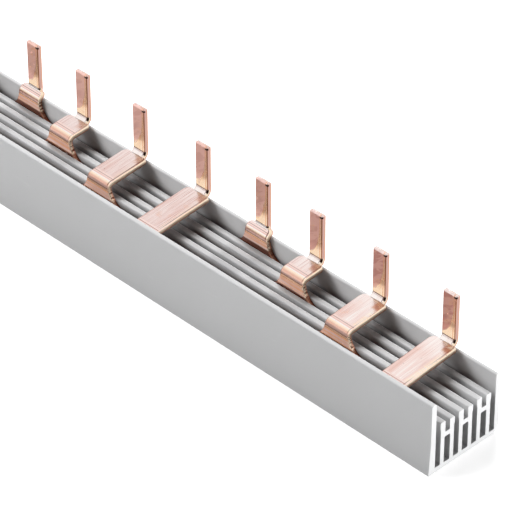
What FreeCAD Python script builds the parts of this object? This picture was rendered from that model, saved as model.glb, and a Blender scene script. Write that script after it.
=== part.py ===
import FreeCAD, Part
import Sketcher
import math
import os

# Comb busbar with four poles: a plastic trough with four channels, and in each channel
# a punched copper bar whose teeth cross to the back edge and end in upright pins.
# X runs along the trough, Y from its tall front wall to its low back wall, Z up.
# The origin is the middle of the underside.

os.makedirs("parts", exist_ok=True)
doc = FreeCAD.newDocument("comb_busbar")

# Driving dimensions in millimetres and degrees, and one count
SIZES = {
    "modules": 12,  # pins in the row
    "module_pitch": 17.8,  # from one pin to the next
    "end_margin": 14.0,  # from the last pin's centre to the cut end
    "floor_thickness": 1.2,
    "front_wall": 1.3,
    "front_height": 17.4,
    "foot_flare": 0.5,  # how far the front wall's foot stands out
    "waist_height": 8.0,  # the foot flares below it, the back wall leans above it
    "back_wall": 1.25,
    "back_height": 15.1,
    "back_lean": 0.35,
    "heel_radius": 2.0,  # lower rear corner
    "channel_width": 1.45,
    "leg_thickness": 1.25,
    "slot_width": 1.3,  # between the two legs of a partition, above the web
    "chamber_width": 1.65,  # between them below the web, where they are thinner
    "partition_height": 11.8,
    "rear_leg_drop": 0.35,  # how much lower the rear leg of a partition is
    "slot_depth": 2.9,
    "web_thickness": 1.15,
    "rim_rounding": 0.4,  # top edges of the front and back walls
    "leg_rounding": 0.3,
    "chamber_rounding": 0.35,
    "bead_size": 0.14,  # ridge on a leg that holds the bar in
    "bead_height": 1.6,
    "bead_ramp": 0.3,
    "copper_thickness": 1.1,
    "strip_height": 8.7,
    "end_recess": 4.5,  # from the cut end to the bar's end, where the bar is in the middle
    "comb_bar_a_slide": 0.65,  # how far the bars have slid to the right along their channels
    "comb_bar_b_slide": -0.9,
    "comb_bar_c_slide": -1.15,
    "comb_bar_d_slide": 0.85,
    "strap_width": 6.6,
    "strap_shift": 0.3,  # how far a strap's middle lies left of its pin's middle
    "strap_slope": 4.9,  # degrees by which a strap climbs to the back wall
    "joggle_slope": 50.0,  # the same for the short straps of the rear bar
    "seat_gap": 0.1,  # between a strap and the back wall's top
    "rim_gap": 0.05,  # between the rear bar's joggle and the back wall's rim
    "pin_width": 3.7,
    "pin_length": 11.9,  # from the strap's top to the pin's tip
    "tab_bend": 0.4,  # inner radii of the bends
    "joggle_bend": 1.0,
    "pin_bend": 0.9,
    "flare_radius": 4.8,  # where a tooth grows out of the strip
    "shoulder_gap": 0.3,  # from the strap's end to the pin's front face
    "shoulder_rounding": 0.7,
    "root_rounding": 0.35,
    "tip_chamfer": 0.3,
}
sheet = doc.addObject("Spreadsheet::Sheet", "Sizes")
for row, (alias, value) in enumerate(SIZES.items(), start=1):
    sheet.set(f"A{row}", alias)
    sheet.set(f"B{row}", str(value))
    sheet.setAlias(f"B{row}", alias)
doc.recompute()

BARS = ("comb_bar_a", "comb_bar_b", "comb_bar_c", "comb_bar_d")  # front to rear, one a channel
POLES = len(BARS)
TOUCH = 1e-4

# Sizes worked out from the sheet, as expressions
PARTITION = "(2 * Sizes.leg_thickness + Sizes.slot_width)"
CHANNEL_PITCH = f"(Sizes.channel_width + {PARTITION})"
FIRST_CHANNEL = "(Sizes.foot_flare + Sizes.front_wall)"
BACK_INNER = f"({FIRST_CHANNEL} + {POLES - 1} * {CHANNEL_PITCH} + Sizes.channel_width)"
DEPTH = f"({BACK_INNER} + Sizes.back_wall)"
LENGTH = "((Sizes.modules - 1) * Sizes.module_pitch + 2 * Sizes.end_margin)"
PIN_FRONT = f"({DEPTH} - Sizes.copper_thickness)"
STRAP_TOP = "(Sizes.back_height + Sizes.seat_gap + Sizes.copper_thickness)"
PIN_TOP = f"({STRAP_TOP} + Sizes.pin_length)"
STRIP_TOP = "(Sizes.floor_thickness + Sizes.strip_height)"
STRIP_LENGTH = f"({LENGTH} - 2 * Sizes.end_recess)"


def number(expression):
    """The value of an expression over the sheet, as a plain number."""
    value = sheet.evalExpression(expression)
    return float(getattr(value, "Value", value))


def origin_feature(body, role):
    """The origin plane or axis of a body that has the given role."""
    return next(feature for feature in body.Origin.OriginFeatures if feature.Role == role)


def add_ring(sketch, ring):
    """Adds a closed outline to a sketch. A corner is a pair of expressions, or a triple
    whose last expression is the radius of the corner's rounding."""
    corners = [FreeCAD.Vector(number(corner[0]), number(corner[1]), 0) for corner in ring]
    radii = [number(corner[2]) if len(corner) > 2 else 0 for corner in ring]
    ahead = [(corners[(k + 1) % len(ring)] - corners[k]).normalize() for k in range(len(ring))]
    turns = [ahead[k - 1].getAngle(ahead[k]) for k in range(len(ring))]
    reach = [radius * math.tan(turn / 2) for radius, turn in zip(radii, turns)]
    first = sketch.GeometryCount
    rules = []
    bound = []

    def place(geometry, corner):
        for kind, value, expression in (("DistanceX", corners[corner].x, ring[corner][0]),
                                        ("DistanceY", corners[corner].y, ring[corner][1])):
            bound.append((len(rules), expression))
            rules.append(Sketcher.Constraint(kind, -1, 1, geometry, 1, value))

    for k, corner in enumerate(corners):
        following = (k + 1) % len(ring)
        sketch.addGeometry(Part.LineSegment(corner + ahead[k] * reach[k],
                                            corners[following] - ahead[k] * reach[following]), False)
    for k, corner in enumerate(corners):
        line = first + k
        before = first + (k - 1) % len(ring)
        if not radii[k]:
            rules.append(Sketcher.Constraint("Coincident", before, 2, line, 1))
            place(line, k)
            continue
        start = corner - ahead[k - 1] * reach[k]
        end = corner + ahead[k] * reach[k]
        middle = (start + end) / 2
        inward = (middle - corner).normalize()
        centre = corner + inward * (radii[k] / math.cos(turns[k] / 2))
        arc = sketch.addGeometry(Part.Arc(start, centre - inward * radii[k], end), False)
        point = sketch.addGeometry(Part.Point(corner), True)
        leftwards = ahead[k - 1].cross(ahead[k]).z > 0
        place(point, k)
        rules.append(Sketcher.Constraint("PointOnObject", point, 1, before))
        rules.append(Sketcher.Constraint("PointOnObject", point, 1, line))
        rules.append(Sketcher.Constraint("Tangent", before, 2, arc, 1 if leftwards else 2))
        rules.append(Sketcher.Constraint("Tangent", line, 1, arc, 2 if leftwards else 1))
        bound.append((len(rules), ring[k][2]))
        rules.append(Sketcher.Constraint("Radius", arc, radii[k]))
    offset = sketch.ConstraintCount
    sketch.addConstraint(rules)
    for index, expression in bound:
        sketch.setExpression(f"Constraints[{offset + index}]", expression)


def outline_sketch(body, name, role, rings):
    """A sketch of closed outlines on an origin plane of a body."""
    sketch = body.newObject("Sketcher::SketchObject", name)
    sketch.AttachmentSupport = [(origin_feature(body, role), "")]
    sketch.MapMode = "FlatFace"
    for ring in rings:
        add_ring(sketch, ring)
    return sketch


def extrusion(body, kind, name, sketch, length):
    """A Pad or Pocket that reaches as far to both sides of its sketch, and becomes the tip."""
    feature = body.newObject(f"PartDesign::{kind}", name)
    feature.Profile = sketch
    feature.SideType = "Symmetric"
    feature.setExpression("Length", length)
    sketch.Visibility = False
    body.Tip = feature
    return feature


def pattern_row(body, name, original, role, spacing, count):
    """A linear pattern of a feature along an origin axis, which becomes the body's tip."""
    pattern = body.newObject("PartDesign::LinearPattern", name)
    pattern.Originals = [original]
    pattern.Direction = (origin_feature(body, role), [""])
    pattern.Mode = "Spacing"
    pattern.setExpression("Offset", spacing)
    pattern.setExpression("Occurrences", count)
    body.Tip = pattern


def new_body(name):
    """A body whose own frame starts at the trough's front foot, placed about the origin."""
    body = doc.addObject("PartDesign::Body", name)
    body.Label = name
    body.setExpression("Placement.Base.y", f"-{DEPTH} / 2")
    return body


def build_housing():
    """The extruded trough: a floor with two walls, and between them the partitions,
    each of two legs joined by a web."""
    body = new_body("housing")
    trough = [
        ("0", "0"),
        ("Sizes.foot_flare", "Sizes.waist_height"),
        ("Sizes.foot_flare", "Sizes.front_height", "Sizes.rim_rounding"),
        (FIRST_CHANNEL, "Sizes.front_height", "Sizes.rim_rounding"),
        (FIRST_CHANNEL, "Sizes.floor_thickness"),
        (BACK_INNER, "Sizes.floor_thickness"),
        (BACK_INNER, "Sizes.back_height", "Sizes.rim_rounding"),
        (f"{DEPTH} - Sizes.back_lean", "Sizes.back_height", "Sizes.rim_rounding"),
        (DEPTH, "Sizes.waist_height"),
        (DEPTH, "0", "Sizes.heel_radius"),
    ]
    section = outline_sketch(body, "trough_section", "YZ_Plane", [trough])
    extrusion(body, "Pad", "trough", section, LENGTH)

    floor = "Sizes.floor_thickness"
    top = "Sizes.partition_height"
    web_top = f"({top} - Sizes.slot_depth)"
    web_underside = f"({web_top} - Sizes.web_thickness)"
    bead_start = f"({top} - Sizes.bead_height)"
    bead_foot = f"({bead_start} - Sizes.bead_ramp)"
    drop = "Sizes.rear_leg_drop"
    near_side = f"({FIRST_CHANNEL} + Sizes.channel_width)"
    slot_front = f"({near_side} + Sizes.leg_thickness)"
    slot_back = f"({slot_front} + Sizes.slot_width)"
    far_side = f"({slot_back} + Sizes.leg_thickness)"
    chamber_front = f"({near_side} + ({PARTITION} - Sizes.chamber_width) / 2)"
    chamber_back = f"({chamber_front} + Sizes.chamber_width)"
    near_bead = f"({near_side} - Sizes.bead_size)"
    far_bead = f"({far_side} + Sizes.bead_size)"
    partition = [
        (near_side, floor),
        (near_side, bead_foot),
        (near_bead, bead_start),
        (near_bead, top, "Sizes.leg_rounding"),
        (slot_front, top, "Sizes.leg_rounding"),
        (slot_front, web_top),
        (slot_back, web_top),
        (slot_back, f"{top} - {drop}", "Sizes.leg_rounding"),
        (far_bead, f"{top} - {drop}", "Sizes.leg_rounding"),
        (far_bead, f"{bead_start} - {drop}"),
        (far_side, f"{bead_foot} - {drop}"),
        (far_side, floor),
        (chamber_back, floor),
        (chamber_back, web_underside, "Sizes.chamber_rounding"),
        (chamber_front, web_underside, "Sizes.chamber_rounding"),
        (chamber_front, floor),
    ]
    section = outline_sketch(body, "partition_section", "YZ_Plane", [partition])
    first = extrusion(body, "Pad", "partition", section, LENGTH)
    pattern_row(body, "partitions", first, "Y_Axis", CHANNEL_PITCH, str(POLES - 1))
    return body


def build_comb_bar(name, channel):
    """A comb bar: a strip in its channel, and teeth that bend to the rear and then upright."""
    body = new_body(name)
    body.setExpression("Placement.Base.x", f"Sizes.{name}_slide")
    strip_face = (f"({FIRST_CHANNEL} + {channel} * {CHANNEL_PITCH}"
                  " + (Sizes.channel_width - Sizes.copper_thickness) / 2)")
    strip_back = f"({strip_face} + Sizes.copper_thickness)"
    run = f"({PIN_FRONT} - {strip_face})"

    # The bent sheet seen from the side: up the channel, over to the back wall, up again
    if channel == POLES - 1:
        slope = "Sizes.joggle_slope"
        first_bend = "Sizes.joggle_bend"
        bend_top = "(Sizes.back_height + Sizes.rim_gap)"
        strap_top = f"({bend_top} + {run} * tan({slope}))"
    else:
        slope = "Sizes.strap_slope"
        first_bend = "Sizes.tab_bend"
        strap_top = STRAP_TOP
        bend_top = f"({strap_top} - {run} * tan({slope}))"
    setback = f"(Sizes.copper_thickness * (1 - sin({slope})) / cos({slope}))"
    side_view = [
        (strip_face, "Sizes.floor_thickness"),
        (strip_back, "Sizes.floor_thickness"),
        (strip_back, f"{bend_top} - {setback}", first_bend),
        (DEPTH, f"{strap_top} - {setback}", "(Sizes.pin_bend + Sizes.copper_thickness)"),
        (DEPTH, PIN_TOP),
        (PIN_FRONT, PIN_TOP),
        (PIN_FRONT, strap_top, "Sizes.pin_bend"),
        (strip_face, bend_top, f"({first_bend} + Sizes.copper_thickness)"),
    ]
    sketch = outline_sketch(body, "side_view", "YZ_Plane", [side_view])
    extrusion(body, "Pad", "sheet", sketch, STRIP_LENGTH)

    # The gaps between the teeth, seen from the front
    modules = int(number("Sizes.modules"))
    pins = [f"(({place} - (Sizes.modules - 1) / 2) * Sizes.module_pitch)"
            for place in range(POLES - 1 - channel, modules, POLES)]
    left_sides = [f"({pin} - Sizes.strap_shift - Sizes.strap_width / 2)" for pin in pins]
    right_sides = [f"({side} + Sizes.strap_width)" for side in left_sides]
    beyond = f"({STRIP_LENGTH} / 2 + Sizes.copper_thickness)"
    above = f"({PIN_TOP} + Sizes.copper_thickness)"
    flare = f"min(Sizes.flare_radius; {bend_top} - {STRIP_TOP})"
    gaps = [[(f"-{beyond}", STRIP_TOP), (left_sides[0], STRIP_TOP, flare),
             (left_sides[0], above), (f"-{beyond}", above)]]
    for right_side, left_side in zip(right_sides, left_sides[1:]):
        gaps.append([(right_side, STRIP_TOP, flare), (left_side, STRIP_TOP, flare),
                     (left_side, above), (right_side, above)])
    gaps.append([(right_sides[-1], STRIP_TOP, flare), (beyond, STRIP_TOP),
                 (beyond, above), (right_sides[-1], above)])
    sketch = outline_sketch(body, "front_view", "XZ_Plane", gaps)
    extrusion(body, "Pocket", "gaps", sketch, f"2 * ({DEPTH} + Sizes.copper_thickness)")

    # The flanks behind the shoulders go, seen square to the strap, which leaves the narrow pin
    shoulder = "-Sizes.shoulder_gap"
    strap_side = "(-Sizes.shoulder_gap - Sizes.shoulder_rounding - Sizes.root_rounding)"
    end = "(Sizes.pin_length + Sizes.copper_thickness)"
    flanks = []
    for sign, side in (("-", left_sides[0]), ("+", right_sides[0])):
        pin_side = f"({pins[0]} {sign} Sizes.pin_width / 2)"
        clear_side = f"({side} {sign} Sizes.copper_thickness)"
        flanks.append([(pin_side, shoulder, "Sizes.root_rounding"),
                       (side, shoulder, "Sizes.shoulder_rounding"),
                       (side, strap_side), (clear_side, strap_side),
                       (clear_side, end), (pin_side, end)])
    sketch = outline_sketch(body, "flank_plan", "XY_Plane", flanks)
    sketch.AttachmentOffset.Rotation.Axis = FreeCAD.Vector(1, 0, 0)
    sketch.setExpression("AttachmentOffset.Rotation.Angle", slope)
    sketch.setExpression("AttachmentOffset.Base.y", PIN_FRONT)
    sketch.setExpression("AttachmentOffset.Base.z", strap_top)
    first = extrusion(body, "Pocket", "flank", sketch, f"2 * {end}")
    pattern_row(body, "flanks", first, "X_Axis", f"({POLES} * Sizes.module_pitch)", str(len(pins)))

    # The pins' tips lose their sharp edges
    doc.recompute()
    pin_top = number(PIN_TOP)
    edges = [f"Edge{index}" for index, edge in enumerate(body.Tip.Shape.Edges, start=1)
             if all(abs(vertex.Z - pin_top) < TOUCH for vertex in edge.Vertexes)]
    base = body.Tip
    tips = body.newObject("PartDesign::Chamfer", "tips")
    tips.Base = (base, edges)
    tips.setExpression("Size", "Sizes.tip_chamfer")
    body.Tip = tips
    return body


bodies = [build_housing()]
bodies += [build_comb_bar(name, channel) for channel, name in enumerate(BARS)]
doc.recompute()

# Every object is sound before anything is written
for item in doc.Objects:
    if "Invalid" in item.State or "Error" in item.State:
        raise RuntimeError(f"{item.Label} failed: {item.State}")
for body in bodies:
    if body.Shape.isNull() or not body.Shape.isValid() or len(body.Shape.Solids) != 1:
        raise RuntimeError(f"{body.Label} has no sound solid")
    print(body.Label, round(body.Shape.Volume, 2), body.Shape.BoundBox)
for body in bodies:
    body.Shape.exportStep(f"parts/{body.Label}.step")
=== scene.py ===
"""Looks of a four pole comb busbar: a grey extruded trough, and four bare copper combs in its channels.

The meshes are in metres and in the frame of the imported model: X runs along the trough, Y from its
tall front wall to its low back wall, and Z is up. The sizes that the classes hold are in
millimetres, where a class doesn't say otherwise.
"""

import logging
import math
from collections.abc import Iterable, Mapping, Sequence
from dataclasses import dataclass, field
from enum import Enum
from typing import Any, Union

import bmesh
import bpy
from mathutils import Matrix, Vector

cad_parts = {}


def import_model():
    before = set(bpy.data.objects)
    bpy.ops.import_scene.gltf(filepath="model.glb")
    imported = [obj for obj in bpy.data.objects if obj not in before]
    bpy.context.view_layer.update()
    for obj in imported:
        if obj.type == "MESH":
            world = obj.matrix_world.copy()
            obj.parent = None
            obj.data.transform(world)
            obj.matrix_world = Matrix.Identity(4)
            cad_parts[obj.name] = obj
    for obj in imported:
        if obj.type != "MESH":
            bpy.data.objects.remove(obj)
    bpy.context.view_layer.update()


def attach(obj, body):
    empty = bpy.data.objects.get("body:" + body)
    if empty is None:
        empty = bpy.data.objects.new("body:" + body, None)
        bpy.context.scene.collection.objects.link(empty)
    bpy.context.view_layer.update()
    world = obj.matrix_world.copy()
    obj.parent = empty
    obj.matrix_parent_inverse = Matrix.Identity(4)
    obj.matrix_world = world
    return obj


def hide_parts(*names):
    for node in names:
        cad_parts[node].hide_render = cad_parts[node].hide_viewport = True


log = logging.getLogger("comb_busbar")

MM = 0.001
MERGE_DISTANCE = 1e-7
WHITE = (1.0, 1.0, 1.0, 1.0)
Pair = tuple[float, float]
Triple = tuple[float, float, float]
Colour = tuple[float, float, float, float]
Operand = Union["Term", float]


# node trees as expressions


class Term:
    """A socket that gives a value, on which Python's operators add Math nodes."""

    def __init__(self, bench: "Bench", socket: bpy.types.NodeSocket) -> None:
        """Keeps the socket and the bench that its tree is built on."""
        self.bench = bench
        self.socket = socket

    def __add__(self, other: Operand) -> "Term":
        """Sum of two values."""
        return self.bench.math("ADD", self, other)

    def __radd__(self, other: float) -> "Term":
        """Sum of a number and a value."""
        return self.bench.math("ADD", other, self)

    def __sub__(self, other: Operand) -> "Term":
        """Difference of two values."""
        return self.bench.math("SUBTRACT", self, other)

    def __rsub__(self, other: float) -> "Term":
        """A number less a value."""
        return self.bench.math("SUBTRACT", other, self)

    def __mul__(self, other: Operand) -> "Term":
        """Product of two values."""
        return self.bench.math("MULTIPLY", self, other)

    def __rmul__(self, other: float) -> "Term":
        """Product of a number and a value."""
        return self.bench.math("MULTIPLY", other, self)

    def __truediv__(self, other: Operand) -> "Term":
        """Quotient of two values."""
        return self.bench.math("DIVIDE", self, other)

    def __abs__(self) -> "Term":
        """The value without its sign."""
        return self.bench.math("ABSOLUTE", self)

    def least(self, other: Operand) -> "Term":
        """The lesser of two values."""
        return self.bench.math("MINIMUM", self, other)

    def most(self, other: Operand) -> "Term":
        """The greater of two values."""
        return self.bench.math("MAXIMUM", self, other)

    def ramp(self, start: float, end: float) -> "Term":
        """A smooth step from 0 at start to 1 at end; start may be the greater.

        Args:
            start: The value up to which the result is 0.
            end: The value from which the result is 1.

        Returns:
            The step as a value.
        """
        return self.bench.node(
            "ShaderNodeMapRange",
            {"interpolation_type": "SMOOTHSTEP"},
            {"Value": self, "From Min": start, "From Max": end, "To Min": 0.0, "To Max": 1.0},
        )["Result"]


class Placed:
    """A node in its tree, whose outputs are read by name or place."""

    def __init__(self, bench: "Bench", node: bpy.types.Node) -> None:
        """Keeps the node and the bench that it stands on."""
        self.bench = bench
        self.node = node

    def __getitem__(self, key: str | int) -> Term:
        """An output of the node."""
        return Term(self.bench, self.bench.socket(self.node.outputs, key))


class Bench:
    """A node tree that is built through one method for nodes and through expressions."""

    def __init__(self, tree: bpy.types.NodeTree) -> None:
        """Starts on a tree, which loses the nodes it has."""
        self.tree = tree
        tree.nodes.clear()

    @staticmethod
    def socket(sockets: Any, key: str | int) -> bpy.types.NodeSocket:
        """Finds a socket of a node.

        Args:
            sockets: The node's inputs or outputs.
            key: The socket's place, or the name or identifier of one that is in use.

        Returns:
            The socket.
        """
        if isinstance(key, int):
            return sockets[key]
        live = [socket for socket in sockets if socket.enabled]
        named = [socket for socket in live if key in (socket.name, socket.identifier)]
        return named[0] if named else sockets[key]

    def node(self, kind: str, settings: Mapping[str, Any] | None = None,
             inputs: Mapping[str | int, Any] | None = None) -> Placed:
        """Adds a node.

        Args:
            kind: The node's type.
            settings: What is set on the node first. A key "stops" holds a colour ramp's pairs of
                position and colour, and a key "choices" the number of values of an Index Switch.
            inputs: Values or terms for the node's sockets, by name, identifier or place. A list
                of terms goes to a socket that takes several links.

        Returns:
            The node.
        """
        node = self.tree.nodes.new(kind)
        for key, value in (settings or {}).items():
            if key == "stops":
                elements = node.color_ramp.elements
                while len(elements) < len(value):
                    elements.new(1.0)
                for element, (position, colour) in zip(elements, value):
                    element.position = position
                    element.color = colour
            elif key == "choices":
                while len(node.index_switch_items) < value:
                    node.index_switch_items.new()
            else:
                setattr(node, key, value)
        for key, value in (inputs or {}).items():
            socket = self.socket(node.inputs, key)
            for part in value if isinstance(value, list) else [value]:
                if isinstance(part, Term):
                    self.tree.links.new(part.socket, socket)
                else:
                    socket.default_value = part
        return Placed(self, node)

    def math(self, operation: str, first: Operand, second: Operand | None = None) -> Term:
        """Adds a Math node of one value or two."""
        inputs = {0: first} if second is None else {0: first, 1: second}
        return self.node("ShaderNodeMath", {"operation": operation}, inputs)["Value"]

    def blend(self, factor: Operand, first: Colour | Term, second: Colour | Term) -> Term:
        """Mixes two colours, from the first at a factor of 0 to the second at 1."""
        return self.node("ShaderNodeMix", {"data_type": "RGBA"},
                         {"Factor_Float": factor, "A_Color": first, "B_Color": second})["Result_Color"]

    def coated(self, colour: Colour | Term, *coats: tuple[Operand, Colour | Term]) -> Term:
        """Lays coats of colour over each other.

        Args:
            colour: The colour at the bottom.
            coats: How far each coat covers what lies below it, and its colour.

        Returns:
            The colour on top.
        """
        for cover, coat in coats:
            colour = self.blend(cover, colour, coat)
        return colour

    def vector_math(self, operation: str, first: Term, second: Term | Triple) -> Term:
        """Adds a Vector Math node.

        Args:
            operation: The node's operation.
            first: Its first vector.
            second: Its second vector, or the factor of the operation SCALE.

        Returns:
            The resulting vector.
        """
        key = "Scale" if operation == "SCALE" else 1
        return self.node("ShaderNodeVectorMath", {"operation": operation},
                         {0: first, key: second})["Vector"]

    def parts(self, vector: Term) -> tuple[Term, Term, Term]:
        """The three parts of a vector."""
        split = self.node("ShaderNodeSeparateXYZ", None, {"Vector": vector})
        return split["X"], split["Y"], split["Z"]

    def vector(self, x: Operand, y: Operand, z: Operand) -> Term:
        """A vector of three values."""
        return self.node("ShaderNodeCombineXYZ", None, {"X": x, "Y": y, "Z": z})["Vector"]


class ShaderBench(Bench):
    """The tree of a material, with the textures that the finishes share."""

    def __init__(self, name: str) -> None:
        """Makes a material.

        Args:
            name: The material's name.
        """
        self.material = bpy.data.materials.new(name)
        self.material.use_nodes = True
        super().__init__(self.material.node_tree)

    def place(self) -> Term:
        """The point in the piece's own frame, in metres."""
        return self.node("ShaderNodeTexCoord")["Object"]

    def attribute(self, name: str) -> Term:
        """A vector that the piece carries on its points."""
        return self.node("ShaderNodeAttribute", {"attribute_name": name})["Vector"]

    def noise(self, vector: Term, scale: float | Triple, detail: float = 2.0, rough: float = 0.5,
              twist: float = 0.0) -> Term:
        """Soft noise about 0.5.

        Args:
            vector: Where it is read.
            scale: Features in a unit of length, or three numbers of them for the three axes.
            detail: Octaves of finer noise.
            rough: The share of the finer noise.
            twist: How far the noise distorts itself.

        Returns:
            The noise as a value.
        """
        if isinstance(scale, tuple):
            vector = self.vector_math("MULTIPLY", vector, scale)
            scale = 1.0
        return self.node("ShaderNodeTexNoise", {"noise_dimensions": "3D"},
                         {"Vector": vector, "Scale": scale, "Detail": detail, "Roughness": rough,
                          "Distortion": twist})["Fac"]

    def specks(self, vector: Term, scale: float, size: float) -> Term:
        """Round specks, one in some of the cells of a grid.

        Args:
            vector: Where they are read.
            scale: Cells in a unit of length.
            size: A speck's radius as a share of a cell.

        Returns:
            1 inside a speck, 0 outside.
        """
        cells = self.node("ShaderNodeTexVoronoi", {"voronoi_dimensions": "3D", "feature": "F1"},
                          {"Vector": vector, "Scale": scale, "Randomness": 1.0})
        pick, _, _ = self.parts(cells["Color"])
        return cells["Distance"].ramp(size, size * 0.4) * pick.ramp(0.72, 0.78)

    def bump(self, height: Term, distance: float, strength: float, normal: Term | None = None) -> Term:
        """A normal from a height.

        Args:
            height: The height as a share of the distance.
            distance: How far a height of 1 stands out, in metres.
            strength: How much of the relief shows.
            normal: The normal that the relief is laid on, if it isn't the surface's own.

        Returns:
            The normal.
        """
        inputs = {"Height": height, "Distance": distance, "Strength": strength}
        if normal is not None:
            inputs["Normal"] = normal
        return self.node("ShaderNodeBump", None, inputs)["Normal"]

    def finish(self, inputs: Mapping[str, Any]) -> bpy.types.Material:
        """Ends the tree in one shader.

        Args:
            inputs: Values or terms for the shader's sockets.

        Returns:
            The material.
        """
        shader = self.node("ShaderNodeBsdfPrincipled", None, inputs)
        self.node("ShaderNodeOutputMaterial", None, {"Surface": shader["BSDF"]})
        return self.material


class GeometryBench(Bench):
    """A Geometry Nodes tree with named inputs."""

    def __init__(self, name: str, inputs: Mapping[str, tuple[str, Any]]) -> None:
        """Makes a tree that takes and gives geometry.

        Args:
            name: The tree's name.
            inputs: The socket type and the value of each input, by name.
        """
        tree = bpy.data.node_groups.new(name, "GeometryNodeTree")
        tree.interface.new_socket("Geometry", in_out="INPUT", socket_type="NodeSocketGeometry")
        self.values: dict[str, Any] = {}
        for label, (kind, value) in inputs.items():
            socket = tree.interface.new_socket(label, in_out="INPUT", socket_type=kind)
            self.values[socket.identifier] = value
        tree.interface.new_socket("Geometry", in_out="OUTPUT", socket_type="NodeSocketGeometry")
        super().__init__(tree)
        self.given = self.node("NodeGroupInput")

    def close(self, geometry: Term) -> None:
        """Ends the tree: instances are made real, and the given material is set.

        Args:
            geometry: What the tree has made.
        """
        solid = self.node("GeometryNodeRealizeInstances", None, {"Geometry": geometry})["Geometry"]
        dressed = self.node("GeometryNodeSetMaterial", None,
                            {"Geometry": solid, "Material": self.given["Material"]})["Geometry"]
        self.node("NodeGroupOutput", None, {"Geometry": dressed})

    def run(self, name: str, mesh: bpy.types.Mesh) -> bpy.types.Object:
        """Runs the tree on a mesh.

        Args:
            name: The name of the piece.
            mesh: What the tree is given.

        Returns:
            The piece, as a plain mesh object without modifiers.
        """
        piece = bpy.data.objects.new(name, mesh)
        bpy.context.scene.collection.objects.link(piece)
        modifier = piece.modifiers.new(self.tree.name, "NODES")
        modifier.node_group = self.tree
        for identifier, value in self.values.items():
            modifier[identifier] = value
        depsgraph = bpy.context.evaluated_depsgraph_get()
        result = bpy.data.meshes.new_from_object(piece.evaluated_get(depsgraph),
                                                 preserve_all_data_layers=True, depsgraph=depsgraph)
        piece.modifiers.clear()
        piece.data = result
        result.name = name
        return piece


# finishes


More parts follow.
